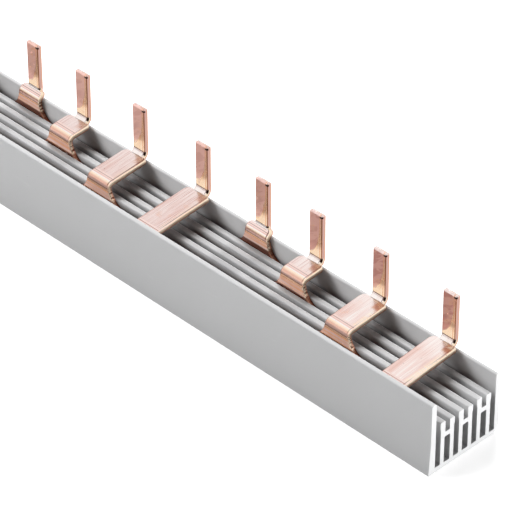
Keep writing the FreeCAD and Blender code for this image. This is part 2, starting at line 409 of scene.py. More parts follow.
@dataclass(frozen=True)
class ExtrudedPlastic:
    """Light grey rigid plastic, drawn through a die and sawn to length.

    The shade beside the straps repeats with the breakers' module, and strap_edge is about where
    the straps' right edges lie in a module.
    """

    colour: Colour = (0.60, 0.602, 0.607, 1.0)
    clouded: Colour = (0.54, 0.543, 0.549, 1.0)
    scuffed: Colour = (0.78, 0.78, 0.78, 1.0)
    sawn: Colour = (0.76, 0.762, 0.766, 1.0)
    stale: Colour = (0.46, 0.462, 0.468, 1.0)
    soot: Colour = (0.16, 0.16, 0.17, 1.0)
    sunken: Colour = (0.12, 0.12, 0.125, 1.0)
    worn: Colour = (0.98, 0.98, 0.98, 1.0)
    roughness: float = 0.46
    specular: float = 0.25
    strap_edge: float = 11.9

    def grime(self, bench: ShaderBench, trough: "Trough", place: tuple[Term, Term, Term]) -> Term:
        """The dirt deep in the channels, and the shade beside the straps.

        Args:
            bench: The bench of the material.
            trough: The trough, whose sizes the dirt follows.
            place: The places along the trough and across it from its front foot, and the height.

        Returns:
            How dark a point is, from 0 to 1.
        """
        along, across, height = place
        end = trough.length / 2
        legs = trough.partition_height
        front, back = trough.inner_front, trough.inner_back
        channels = across.ramp(front + 0.1, front + 0.3) * across.ramp(back + 0.2, back + 0.1)
        deep = height.ramp(legs - 0.2, legs - 2.2) * channels * abs(along).ramp(end, end - 9.0)
        within = across.ramp(front + 1.2, front + 1.3) * across.ramp(back + 0.15, back + 0.05)
        within = within * height.ramp(legs + 3.2, legs + 2.2)
        bay = bench.math("FLOORED_MODULO", along - self.strap_edge, Comb.module)
        beside = bay.ramp(3.5, 0.0).most(bay.ramp(Comb.module - 8.5, Comb.module - 5.0))
        beside = beside * height.ramp(legs - 5.0, legs - 1.0) * within
        return deep.most(beside * abs(along).ramp(end - 4.0, end - 10.0) * 0.38)

    def rubbing(self, bench: ShaderBench, trough: "Trough", place: tuple[Term, Term, Term]) -> Term:
        """The wear of the legs' upper arrises.

        Args:
            bench: The bench of the material.
            trough: The trough, whose sizes the wear follows.
            place: The places along the trough and across it from its front foot, and the height.

        Returns:
            How rubbed a point is, from 0 to 1.
        """
        _, across, height = place
        legs = trough.partition_height
        front, back = trough.inner_front, trough.inner_back
        first_slot = front + trough.channel + trough.leg
        rear_arris = trough.slot + trough.leg + trough.bead - 0.04
        step = bench.math("FLOORED_MODULO", across - first_slot, trough.pitch)
        arris = (abs(step - rear_arris).ramp(0.26, 0.1)
                 + abs(step - trough.pitch + 0.03).ramp(0.26, 0.1) + abs(step).ramp(0.1, 0.02))
        rubbed = arris.least(1.0) * height.ramp(legs - 0.7, legs - 0.45)
        return rubbed * across.ramp(front + 1.3, front + 1.4) * across.ramp(back - 1.0, back - 1.1)

    def material(self, trough: "Trough") -> bpy.types.Material:
        """The finish as a material.

        Args:
            trough: The trough, whose sizes the marks follow.

        Returns:
            Grey with faint die lines along the trough, scuffs, sparse specks, grime deep in the
            channels, a paler sawn end at the right and a greyer one at the left.
        """
        bench = ShaderBench("grey_plastic")
        point = bench.place()
        x, y, z = bench.parts(point)
        place = (x / MM, y / MM + trough.depth / 2, z / MM)
        end = trough.length / 2
        sawn = abs(place[0]).ramp(end - 0.06, end - 0.01)
        arris = abs(place[0]).ramp(end - 0.55, end)
        right = place[0].ramp(-1.0, 1.0)

        die_lines = bench.noise(point, (6.0, 2600.0, 2600.0), 2.0, 0.6)
        cloud = bench.noise(point, 38.0, 3.0, 0.55)
        grain = bench.noise(point, 5200.0, 2.0, 0.7)
        scuffs = bench.noise(point, (90.0, 700.0, 700.0), 4.0, 0.6, 0.8).ramp(0.66, 0.78)
        slanted = bench.vector(x * 40.0, y * 500.0 + z * 180.0, z * 2600.0 - y * 600.0)
        saw = bench.noise(slanted, 1.0, 3.0, 0.6)

        colour = bench.coated(
            self.colour,
            (cloud.ramp(0.3, 0.7) * 0.16, self.clouded),
            (scuffs * 0.22, self.scuffed),
            (self.grime(bench, trough, place) * 0.8, self.sunken),
            (self.rubbing(bench, trough, place) * 0.95, self.worn),
            (arris * right * 0.35, self.sawn),
            (sawn * (0.75 + 0.25 * saw), bench.blend(right, self.stale, self.sawn)),
            (bench.specks(point, 420.0, 0.05) * 0.35, self.soot),
            (bench.specks(point, 165.0, 0.036) * 0.75, self.soot),
        )
        relief = 0.30 * die_lines * (1 - sawn) + 0.22 * grain + 0.8 * saw * sawn + 0.2 * scuffs
        return bench.finish({
            "Base Color": colour,
            "Roughness": self.roughness + 0.14 * (grain - 0.5) + 0.1 * scuffs + 0.24 * sawn,
            "Specular IOR Level": self.specular,
            "Normal": bench.bump(relief, 0.05 * MM, 0.6),
        })


class CopperBench(ShaderBench):
    """The tree of the copper: where on its tooth a point lies, and what has marked the sheet.

    Margins are millimetres. A phase runs from 0 to 1 through its bend or through the pin. All
    the other terms run from 0 to 1.
    """

    def __init__(self, name: str) -> None:
        """Reads what the comb carries on its points, and lays the marks along the blank.

        Args:
            name: The material's name.
        """
        super().__init__(name)
        x, _, _ = self.parts(self.place())
        _, along, through = self.parts(self.attribute("blank"))
        aside, _, _ = self.parts(self.attribute("facing"))
        self.from_left, self.from_right, self.from_tip = self.parts(self.attribute("margin"))
        self.first, self.second, self.up_pin = self.parts(self.attribute("phase"))
        self.to_left = x.ramp(95.0 * MM, 25.0 * MM)

        # the parts of a tooth
        self.strip = self.first.ramp(-1.5, -1.9)
        self.tab = self.first.ramp(0.0, -0.3)
        self.at_first = self.first.ramp(-0.55, -0.35) * self.first.ramp(2.0, 1.8)
        self.at_second = self.second.ramp(-0.08, 0.06) * self.second.ramp(1.12, 0.95)
        self.pin = self.second.ramp(0.95, 1.1)
        self.strap = 1 - self.pin

        # the faces of the sheet: the upper one, the flanks, and the roll between them
        self.top = through.ramp(0.1 * MM, 0.2 * MM)
        self.sheared = through.ramp(-0.25 * MM, 0.0)
        self.flank = abs(aside).ramp(0.8, 0.98)
        self.roll = abs(aside).ramp(0.12, 0.4) * (1 - self.flank) * self.top
        self.right = aside.ramp(-0.1, 0.1)

        # what rolling, punching and handling leave
        sheet = self.vector(x, along, through)
        self.streaks = self.noise(sheet, (3600.0, 75.0, 900.0), 3.0, 0.62)
        self.broad = self.noise(sheet, (520.0, 60.0, 300.0), 2.0, 0.5)
        self.lines = self.noise(sheet, (7500.0, 90.0, 900.0), 2.0, 0.6)
        self.creases = self.noise(sheet, (60.0, 2600.0, 600.0), 2.0, 0.55)
        self.grain = self.noise(sheet, 5200.0, 2.0, 0.6)
        self.tarnish = self.noise(sheet, 330.0, 3.0, 0.55, 0.4)
        slanted = self.vector(x * 170.0 + along * 90.0, along * 560.0 - x * 420.0, through * 200.0)
        self.mottle = self.noise(slanted, 1.0, 2.0, 0.55, 0.6)
        self.spots = self.specks(sheet, 620.0, 0.12)

        # the bright wedge at the foot of the pin
        reach = self.from_left / Comb.pin_width
        slope = 0.13 + 0.95 * reach * reach * reach + 0.3 * (self.mottle - 0.5)
        self.wedge = (slope - self.up_pin).ramp(-0.02, 0.06)


@dataclass(frozen=True)
class BareCopper:
    """Punched and bent copper: rolled grain, rolled edges, creased bends, tarnish in the corners."""

    pale: Colour = (0.91, 0.72, 0.67, 1.0)
    sheen: Colour = (1.0, 0.93, 0.90, 1.0)
    skin: Colour = (0.77, 0.60, 0.57, 1.0)
    warm: Colour = (0.84, 0.56, 0.49, 1.0)
    blush: Colour = (0.70, 0.43, 0.38, 1.0)
    rose: Colour = (0.62, 0.27, 0.215, 1.0)
    dusk: Colour = (0.77, 0.39, 0.315, 1.0)
    peach: Colour = (0.98, 0.61, 0.53, 1.0)
    clay: Colour = (0.79, 0.43, 0.31, 1.0)
    sand: Colour = (0.90, 0.52, 0.32, 1.0)
    cream: Colour = (1.0, 0.82, 0.62, 1.0)
    honey: Colour = (1.0, 0.74, 0.52, 1.0)
    amber: Colour = (0.74, 0.41, 0.27, 1.0)
    umber: Colour = (0.36, 0.13, 0.06, 1.0)
    russet: Colour = (0.42, 0.2, 0.16, 1.0)
    orange: Colour = (0.90, 0.42, 0.21, 1.0)
    brown: Colour = (0.17, 0.055, 0.03, 1.0)
    black: Colour = (0.03, 0.012, 0.01, 1.0)
    roughness: float = 0.22
    bands_start: float = -0.5
    bands_span: float = 2.5

    def bands(self, bench: CopperBench) -> Term:
        """The bands that bending leaves across the lower bend, from the tab to the strap.

        Args:
            bench: The bench of the material.

        Returns:
            Their colour.
        """
        colours = (
            (-0.5, self.orange), (0.0, self.sand), (0.12, self.brown), (0.24, self.warm),
            (0.55, self.clay), (0.78, self.cream), (0.98, self.sheen), (1.15, self.warm),
            (1.42, self.pale), (1.52, self.russet), (1.62, self.pale),
        )
        stops = [((phase - self.bands_start) / self.bands_span, colour) for phase, colour in colours]
        phase = bench.first + 0.12 * (bench.creases - 0.5)
        return bench.node("ShaderNodeValToRGB", {"stops": stops},
                          {"Fac": (phase - self.bands_start) / self.bands_span})["Color"]

    def rolled(self, bench: CopperBench) -> Term:
        """The colour of the tab and the strap, with streaks along the sheet.

        Args:
            bench: The bench of the material.

        Returns:
            The colour.
        """
        scraped = bench.broad.ramp(0.52, 0.36) * bench.streaks.ramp(0.35, 0.6)
        margin = bench.from_right.ramp(1.7, 0.7) * bench.creases.ramp(0.2, 0.7)
        patch = (bench.from_right.ramp(2.3, 1.7) * bench.second.ramp(-1.25, -0.85)
                 * (bench.mottle + bench.from_right * 0.06).ramp(0.4, 0.5))
        return bench.coated(
            self.pale,
            (bench.broad.ramp(0.38, 0.62) * 0.7, self.warm),
            (bench.streaks.ramp(0.56, 0.70) * 0.7, self.sheen),
            (scraped * 0.7, self.sheen),
            (margin * 0.75, self.cream),
            (bench.tarnish.ramp(0.60, 0.78) * 0.5, self.orange),
            (bench.second.ramp(-3.2, -0.4) * (0.45 + 0.5 * bench.streaks), self.sheen),
            (bench.to_left * 0.5, self.skin),
            (bench.lines.ramp(0.55, 0.68) * (0.2 + 0.4 * bench.to_left), self.rose),
            (patch * (0.85 - 0.5 * bench.to_left), self.amber),
            (bench.tab * 0.8, bench.blend(bench.creases.ramp(0.4, 0.6), self.orange, self.warm)),
        )

    def upright(self, bench: CopperBench) -> Term:
        """The colour of the pin's face, warm and bright at its foot and along its right edge.

        Args:
            bench: The bench of the material.

        Returns:
            The colour.
        """
        glow = bench.coated(self.orange, (bench.up_pin.ramp(0.42, 0.1), self.honey),
                            (bench.from_right.ramp(1.3, 0.8) * 0.5, self.cream))
        stain = abs(bench.mottle - 0.5).ramp(0.02, 0.0) * bench.tarnish.ramp(0.5, 0.62)
        return bench.coated(
            self.rose,
            (bench.mottle.ramp(0.45, 0.52), self.dusk),
            (bench.tarnish.ramp(0.5, 0.66) * 0.6, self.clay),
            (bench.to_left * 0.45, self.peach),
            (bench.wedge, glow),
            (stain * 0.5, self.orange),
        )

    def bent(self, bench: CopperBench, colour: Term) -> Term:
        """Lays the bends' marks over a colour.

        Args:
            bench: The bench of the material.
            colour: The colour below.

        Returns:
            The colour with bands at the first bend, sheen at the second, and dark lines beside it.
        """
        foot = (abs(bench.second - 0.02).ramp(0.07, 0.02) * bench.from_left.ramp(1.4, 1.7)
                * bench.from_right.ramp(0.9, 1.2))
        lines = (foot + abs(bench.second - 1.02).ramp(0.07, 0.02)) * bench.top
        return bench.coated(
            colour,
            (bench.at_first * bench.top * 0.85, self.bands(bench)),
            (bench.at_second * bench.top * 0.8, self.sheen),
            (lines * 0.6, self.brown),
        )

    def edged(self, bench: CopperBench, colour: Term) -> Term:
        """Lays the edges over a colour.

        Args:
            bench: The bench of the material.
            colour: The colour below.

        Returns:
            The colour with a dark line inside a bright roll on the strap, a dark roll on the pin,
            sheared flanks, pale tips and a dark strip.
        """
        line = (abs(bench.from_right - 0.5).ramp(0.16, 0.06) * bench.strap * bench.top
                * bench.first.ramp(0.2, 0.6))
        lumps = bench.blend(bench.creases.ramp(0.42, 0.58), self.clay, self.cream)
        lit = bench.blend(bench.second.ramp(-7.0, -3.0) * 0.75 + 0.25, self.pale, self.cream)
        lit = bench.blend(bench.first.ramp(0.1, 0.7), lumps, lit)
        flank = bench.coated(
            self.clay,
            (bench.sheared, bench.blend(bench.strap, self.blush, self.cream)),
            (bench.first.ramp(0.6, 0.0) * bench.creases.ramp(0.45, 0.6), self.brown),
        )
        tip = bench.from_tip.ramp(0.5, 0.25) * bench.pin * (0.65 - 0.5 * bench.to_left)
        return bench.coated(
            colour,
            (line * bench.broad.ramp(0.35, 0.6), self.brown),
            (bench.roll * bench.strap * bench.right, lit),
            (bench.roll * bench.strap * (1 - bench.right) * 0.75, self.rose),
            (bench.roll * bench.pin * (0.85 + 0.1 * bench.right), self.umber),
            (bench.flank, flank),
            (tip, self.sheen),
            (bench.strip * 0.9, self.brown),
        )

    def nicks(self, bench: CopperBench) -> Term:
        """The nicks that the punch leaves at the right corners of a pin's tip and foot.

        Args:
            bench: The bench of the material.

        Returns:
            1 inside a nick, 0 outside.
        """
        at_tip = (abs(bench.from_tip - 0.55).ramp(0.32, 0.16) * bench.from_right.ramp(0.85, 0.6)
                  * bench.pin)
        at_foot = abs(bench.second - 0.78).ramp(0.34, 0.2) * bench.from_right.ramp(0.55, 0.3)
        return at_tip.most(at_foot) * bench.top

    def relief(self, bench: CopperBench) -> Term:
        """The fine relief of the sheet, and the lean that makes the pins' feet catch the light.

        Args:
            bench: The bench of the material.

        Returns:
            The normal.
        """
        fine = (0.35 * bench.streaks * bench.strap * (1 - bench.flank)
                + 0.7 * bench.at_first * bench.creases + 0.15 * bench.grain
                + 0.5 * bench.flank * (1 - bench.sheared) * bench.grain)
        lean = (0.42 - bench.up_pin).most(0.0) * bench.pin * bench.top
        return bench.bump(bench.mottle * 0.1 + lean * lean * 20.0, 1.0 * MM, 0.6,
                          bench.bump(fine, 0.02 * MM, 0.5))

    def material(self) -> bpy.types.Material:
        """The finish as a material.

        Returns:
            Copper whose pattern follows the flat blank that each tooth is bent from, under a
            thin film on the pins and tabs.
        """
        bench = CopperBench("bare_copper")
        colour = bench.coated(self.rolled(bench), (bench.pin * bench.top, self.upright(bench)))
        colour = self.edged(bench, self.bent(bench, colour))
        nick = self.nicks(bench)
        seam = abs(bench.from_right - 0.62).ramp(0.22, 0.05) * bench.pin * bench.top
        colour = bench.coated(colour, (seam * 0.75, self.orange), (nick, self.black),
                              (bench.spots * 0.4, self.brown))
        roughness = (self.roughness + 0.12 * (bench.streaks - 0.5) + 0.08 * (bench.grain - 0.5)
                     + 0.16 * bench.flank + 0.12 * bench.tarnish.ramp(0.6, 0.8) + 0.3 * nick)
        film = (bench.pin * (0.62 + 0.18 * bench.to_left) * (1 - 0.8 * bench.wedge)
                + bench.tab * (1 - bench.strip) * 0.85) * bench.top
        return bench.finish({
            "Base Color": colour,
            "Roughness": roughness,
            "Metallic": 1 - film,
            "Normal": self.relief(bench),
        })


@dataclass(frozen=True)
class PaperFloor:
    """Pale paper that the busbar lies on, which glows enough to be white to the camera."""

    colour: Colour = (0.66, 0.66, 0.66, 1.0)
    glow: float = 0.72

    def material(self) -> bpy.types.Material:
        """The finish as a material.

        Returns:
            Paper that is plain white in the metal and keeps its shadows before the camera.
        """
        bench = ShaderBench("paper_floor")
        path = bench.node("ShaderNodeLightPath")
        mirrored = path["Is Glossy Ray"].most(path["Is Transmission Ray"])
        lit = bench.node("ShaderNodeBsdfDiffuse", None, {"Color": self.colour, "Roughness": 0.0})
        glow = bench.node("ShaderNodeEmission", None, {
            "Color": WHITE, "Strength": path["Is Camera Ray"] * self.glow + mirrored,
        })
        both = bench.node("ShaderNodeAddShader", None, {0: lit["BSDF"], 1: glow["Emission"]})
        paper = bench.node("ShaderNodeMixShader", None,
                           {0: mirrored, 1: both["Shader"], 2: glow["Emission"]})
        bench.node("ShaderNodeOutputMaterial", None, {"Surface": paper["Shader"]})
        return bench.material


# outlines and meshes


@dataclass(frozen=True)
class Corner:
    """A corner of an outline, with the radius that rounds it."""

    across: float
    up: float
    radius: float = 0.0

    def point(self) -> Vector:
        """The corner as a flat vector in metres."""
        return Vector((self.across * MM, self.up * MM))


@dataclass(frozen=True)
class Outline:
    """A closed outline of corners."""

    corners: Sequence[Corner]
    steps: int = 5

    def points(self) -> list[Vector]:
        """The outline with its corners rounded.

        Returns:
            Points in order, in metres.
        """
        result: list[Vector] = []
        count = len(self.corners)
        for index, corner in enumerate(self.corners):
            here = corner.point()
            before = (here - self.corners[index - 1].point()).normalized()
            after = (self.corners[(index + 1) % count].point() - here).normalized()
            if corner.radius == 0.0:
                result.append(here)
                continue
            turn = before.angle(after)
            reach = corner.radius * MM * math.tan(turn / 2)
            start = here - before * reach
            end = here + after * reach
            inward = ((start + end) / 2 - here).normalized()
            centre = here + inward * (corner.radius * MM / math.cos(turn / 2))
            spread = start - centre
            leftwards = before.x * after.y - before.y * after.x > 0
            for step in range(self.steps + 1):
                angle = turn * step / self.steps * (1 if leftwards else -1)
                result.append(centre + Vector((
                    spread.x * math.cos(angle) - spread.y * math.sin(angle),
                    spread.x * math.sin(angle) + spread.y * math.cos(angle),
                )))
        return result


def metres(points: Iterable[Triple]) -> list[Triple]:
    """Points in millimetres as points in metres."""
    return [(x * MM, y * MM, z * MM) for x, y, z in points]


def clean(mesh: bpy.types.Mesh, crease: float) -> None:
    """Merges the doubles of a closed mesh, turns its faces outwards and shades it.

    Args:
        mesh: The mesh.
        crease: The angle past which an edge stays sharp, in degrees.
    """
    shape = bmesh.new()
    shape.from_mesh(mesh)
    bmesh.ops.remove_doubles(shape, verts=shape.verts, dist=MERGE_DISTANCE)
    bmesh.ops.recalc_face_normals(shape, faces=shape.faces)
    shape.to_mesh(mesh)
    shape.free()
    mesh.shade_smooth()
    mesh.set_sharp_from_angle(angle=math.radians(crease))


# the trough


@dataclass
class Trough:
    """The extruded housing: a floor, two walls and the partitions that part the channels.

    Places across it are measured from the foot of the front wall.
    """

    length: float = 223.8
    depth: float = 20.25
    floor: float = 1.2
    front_wall: float = 1.3
    front_height: float = 17.4
    foot_flare: float = 0.5
    waist: float = 8.0
    back_height: float = 15.1
    back_lean: float = 0.35
    heel: float = 2.0
    channel: float = 1.45
    leg: float = 1.25
    slot: float = 1.3
    chamber: float = 1.65
    partition_height: float = 11.8
    rear_leg_drop: float = 0.35
    slot_depth: float = 2.9
    web: float = 1.15
    rim: float = 0.4
    leg_rounding: float = 0.3
    chamber_rounding: float = 0.35
    bead: float = 0.14
    bead_height: float = 1.6
    bead_ramp: float = 0.3
    partitions: int = 3
    crease: float = 32.0
    finish: ExtrudedPlastic = field(default_factory=ExtrudedPlastic)

    @property
    def inner_front(self) -> float:
        """Where the first channel starts."""
        return self.foot_flare + self.front_wall

    @property
    def pitch(self) -> float:
        """From one channel to the next."""
        return self.channel + 2 * self.leg + self.slot

    @property
    def inner_back(self) -> float:
        """Where the last channel ends."""
        return self.inner_front + self.partitions * self.pitch + self.channel

    def partition_outline(self, near: float) -> list[Corner]:
        """The upper outline of a partition, whose two legs stand on the floor.

        Args:
            near: Where its near leg starts.

        Returns:
            The corners from the foot of the near leg to the foot of the far one.
        """
        top = self.partition_height
        low_top = top - self.rear_leg_drop
        to_bead = self.bead_height
        to_foot = self.bead_height + self.bead_ramp
        slot_front = near + self.leg
        slot_back = slot_front + self.slot
        far = slot_back + self.leg
        return [
            Corner(near, self.floor),
            Corner(near, top - to_foot),
            Corner(near - self.bead, top - to_bead),
            Corner(near - self.bead, top, self.leg_rounding),
            Corner(slot_front, top, self.leg_rounding),
            Corner(slot_front, top - self.slot_depth),
            Corner(slot_back, top - self.slot_depth),
            Corner(slot_back, low_top, self.leg_rounding),
            Corner(far + self.bead, low_top, self.leg_rounding),
            Corner(far + self.bead, low_top - to_bead),
            Corner(far, low_top - to_foot),
            Corner(far, self.floor),
        ]

    def outlines(self) -> list[Outline]:
        """The cross section.

        Returns:
            Its outer outline, and the closed chamber under each web.
        """
        inner = self.inner_front
        back = self.inner_back
        outer = [
            Corner(0.0, 0.0),
            Corner(self.foot_flare, self.waist),
            Corner(self.foot_flare, self.front_height, self.rim),
            Corner(inner, self.front_height, self.rim),
            Corner(inner, self.floor),
        ]
        chambers: list[Outline] = []
        underside = self.partition_height - self.slot_depth - self.web
        for number in range(self.partitions):
            near = inner + self.channel + number * self.pitch
            outer += self.partition_outline(near)
            left = near + self.leg + (self.slot - self.chamber) / 2
            right = left + self.chamber
            chambers.append(Outline([
                Corner(left, self.floor),
                Corner(right, self.floor),
                Corner(right, underside, self.chamber_rounding),
                Corner(left, underside, self.chamber_rounding),
            ]))
        outer += [
            Corner(back, self.floor),
            Corner(back, self.back_height, self.rim),
            Corner(self.depth - self.back_lean, self.back_height, self.rim),
            Corner(self.depth, self.waist),
            Corner(self.depth, 0.0, self.heel),
        ]
        return [Outline(outer), *chambers]

    def section(self) -> bpy.types.Mesh:
        """The cross section as a mesh.

        Returns:
            Closed rings of edges, about the middle of the trough's depth.
        """
        points: list[Triple] = []
        edges: list[tuple[int, int]] = []
        for outline in self.outlines():
            ring = outline.points()
            first = len(points)
            points += [(point.x - self.depth / 2 * MM, point.y, 0.0) for point in ring]
            edges += [(first + k, first + (k + 1) % len(ring)) for k in range(len(ring))]
        mesh = bpy.data.meshes.new("trough_section")
        mesh.from_pydata(points, edges, [])
        return mesh

    def die(self, material: bpy.types.Material) -> GeometryBench:
        """The tree that draws the cross section out to the trough's length.

        Args:
            material: The finish of the trough.

        Returns:
            The tree, ready to run on the cross section.
        """
        bench = GeometryBench("drawn_through_a_die", {
            "Length": ("NodeSocketFloat", self.length * MM),
            "Material": ("NodeSocketMaterial", material),
        })
        length = bench.given["Length"]
        ring = bench.node("GeometryNodeMeshToCurve", None, {"Mesh": bench.given["Geometry"]})
        face = bench.node("GeometryNodeFillCurve", None, {"Curve": ring["Curve"]})["Mesh"]
        drawn = bench.node("GeometryNodeExtrudeMesh", {"mode": "FACES"},
                           {"Mesh": face, "Offset": bench.vector(0.0, 0.0, 1.0),
                            "Offset Scale": length, "Individual": False})["Mesh"]
        cut = bench.node("GeometryNodeFlipFaces", None, {"Mesh": face})["Mesh"]
        solid = bench.node("GeometryNodeJoinGeometry", None, {"Geometry": [drawn, cut]})["Geometry"]
        laid = bench.node("GeometryNodeTransform", None, {
            "Geometry": solid,
            "Translation": bench.vector(length * -0.5, 0.0, 0.0),
            "Rotation": (math.pi / 2, 0.0, math.pi / 2),
        })["Geometry"]
        bench.close(laid)
        return bench

    def build(self) -> bpy.types.Object:
        """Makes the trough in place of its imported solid.

        Returns:
            The piece.
        """
        piece = self.die(self.finish.material(self)).run("trough", self.section())
        clean(piece.data, self.crease)
        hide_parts("housing")
        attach(piece, "root")
        return piece


# the combs

# what the strip carries in place of a tooth's margins and phases
FAR_FROM_EDGES = (9.0, 9.0, 99.0)
BEFORE_THE_BENDS = (-2.0, -9.0, -9.0)


class Bar(Enum):
    """The four bars: the channel that each one stands in, from the front, and how far it has slid."""

    A = (0, 0.65)
    B = (1, -0.9)
    C = (2, -1.15)
    D = (3, 0.85)

    @property
    def channel(self) -> int:
        """The number of channels in front of the bar's own."""
        return self.value[0]

    @property
    def slide(self) -> float:
        """How far the bar has slid to the right along its channel."""
        return self.value[1]


@dataclass(frozen=True)
class Fold:
    """The side view of a tooth: the line that its flat blank is folded along."""

    foot: Pair
    first: Pair
    second: Pair
    tip: Pair
    first_radius: float
    second_radius: float
    slope: float

    @property
    def turn(self) -> float:
        """The angle of each bend, in radians."""
        return math.radians(90.0 - self.slope)

    def stations(self) -> tuple[float, float, float, float, float]:
        """Lengths along the blank from its foot.

        Returns:
            The start and end of the first bend, the start and end of the second, and the tip.
        """
        spare = math.tan(self.turn / 2)
        first_start = self.first[1] - self.foot[1] - self.first_radius * spare
        first_end = first_start + self.first_radius * self.turn
        strap = math.dist(self.first, self.second)
        second_start = first_end + strap - (self.first_radius + self.second_radius) * spare
        second_end = second_start + self.second_radius * self.turn
        tip = second_end + self.tip[1] - self.second[1] - self.second_radius * spare
        return first_start, first_end, second_start, second_end, tip


@dataclass
class Loft:
    """A closed skin over rows of points, with the attributes of each point."""

    rows: list[list[Triple]] = field(default_factory=list)
    attributes: dict[str, list[Triple]] = field(default_factory=dict)

    def add_row(self, points: list[Triple], **attributes: list[Triple]) -> None:
        """Adds the next row.

        Args:
            points: Its points, in millimetres.
            attributes: A vector for each point, under four names. blank is its place on the flat
                blank, in metres, and facing is the direction that it faces there. margin is how
                far it is from the left edge, the right edge and the tip, in millimetres. phase is
                how far it is through the first bend, the second bend and the pin, where each runs
                from 0 to 1.
        """
        self.rows.append(points)
        for label, vectors in attributes.items():
            self.attributes.setdefault(label, []).extend(vectors)

    def faces(self, offset: int) -> list[tuple[int, ...]]:
        """The skin's faces, with both ends closed.

        Args:
            offset: The number of the first point.

        Returns:
            The points of each face.
        """
        count = len(self.rows[0])
        last = offset + (len(self.rows) - 1) * count
        faces: list[tuple[int, ...]] = [tuple(range(offset, offset + count))]
        for start in range(offset, last, count):
            above = start + count
            for here in range(count):
                following = (here + 1) % count
                faces.append((start + here, above + here, above + following, start + following))
        faces.append(tuple(reversed(range(last, last + count))))
        return faces

    @staticmethod
    def mesh(name: str, lofts: Mapping[bool, "Loft"]) -> bpy.types.Mesh:
        """One mesh of several lofts.

        Args:
            name: The mesh's name.
            lofts: The tooth under False and the strip under True.

        Returns:
            The mesh, with the lofts' attributes and one that tells the strip from the tooth.
        """
        points: list[Triple] = []
        faces: list[tuple[int, ...]] = []
        marks: list[bool] = []
        vectors: dict[str, list[float]] = {}
        for is_strip, loft in lofts.items():
            faces += loft.faces(len(points))
            for row in loft.rows:
                points += metres(row)
                marks += [is_strip] * len(row)
            for label, given in loft.attributes.items():
                vectors.setdefault(label, []).extend(part for vector in given for part in vector)
        mesh = bpy.data.meshes.new(name)
        mesh.from_pydata(points, [], faces)
        for label, flat in vectors.items():
            mesh.attributes.new(label, "FLOAT_VECTOR", "POINT").data.foreach_set("vector", flat)
        mesh.attributes.new("strip", "BOOLEAN", "POINT").data.foreach_set("value", marks)
        return mesh


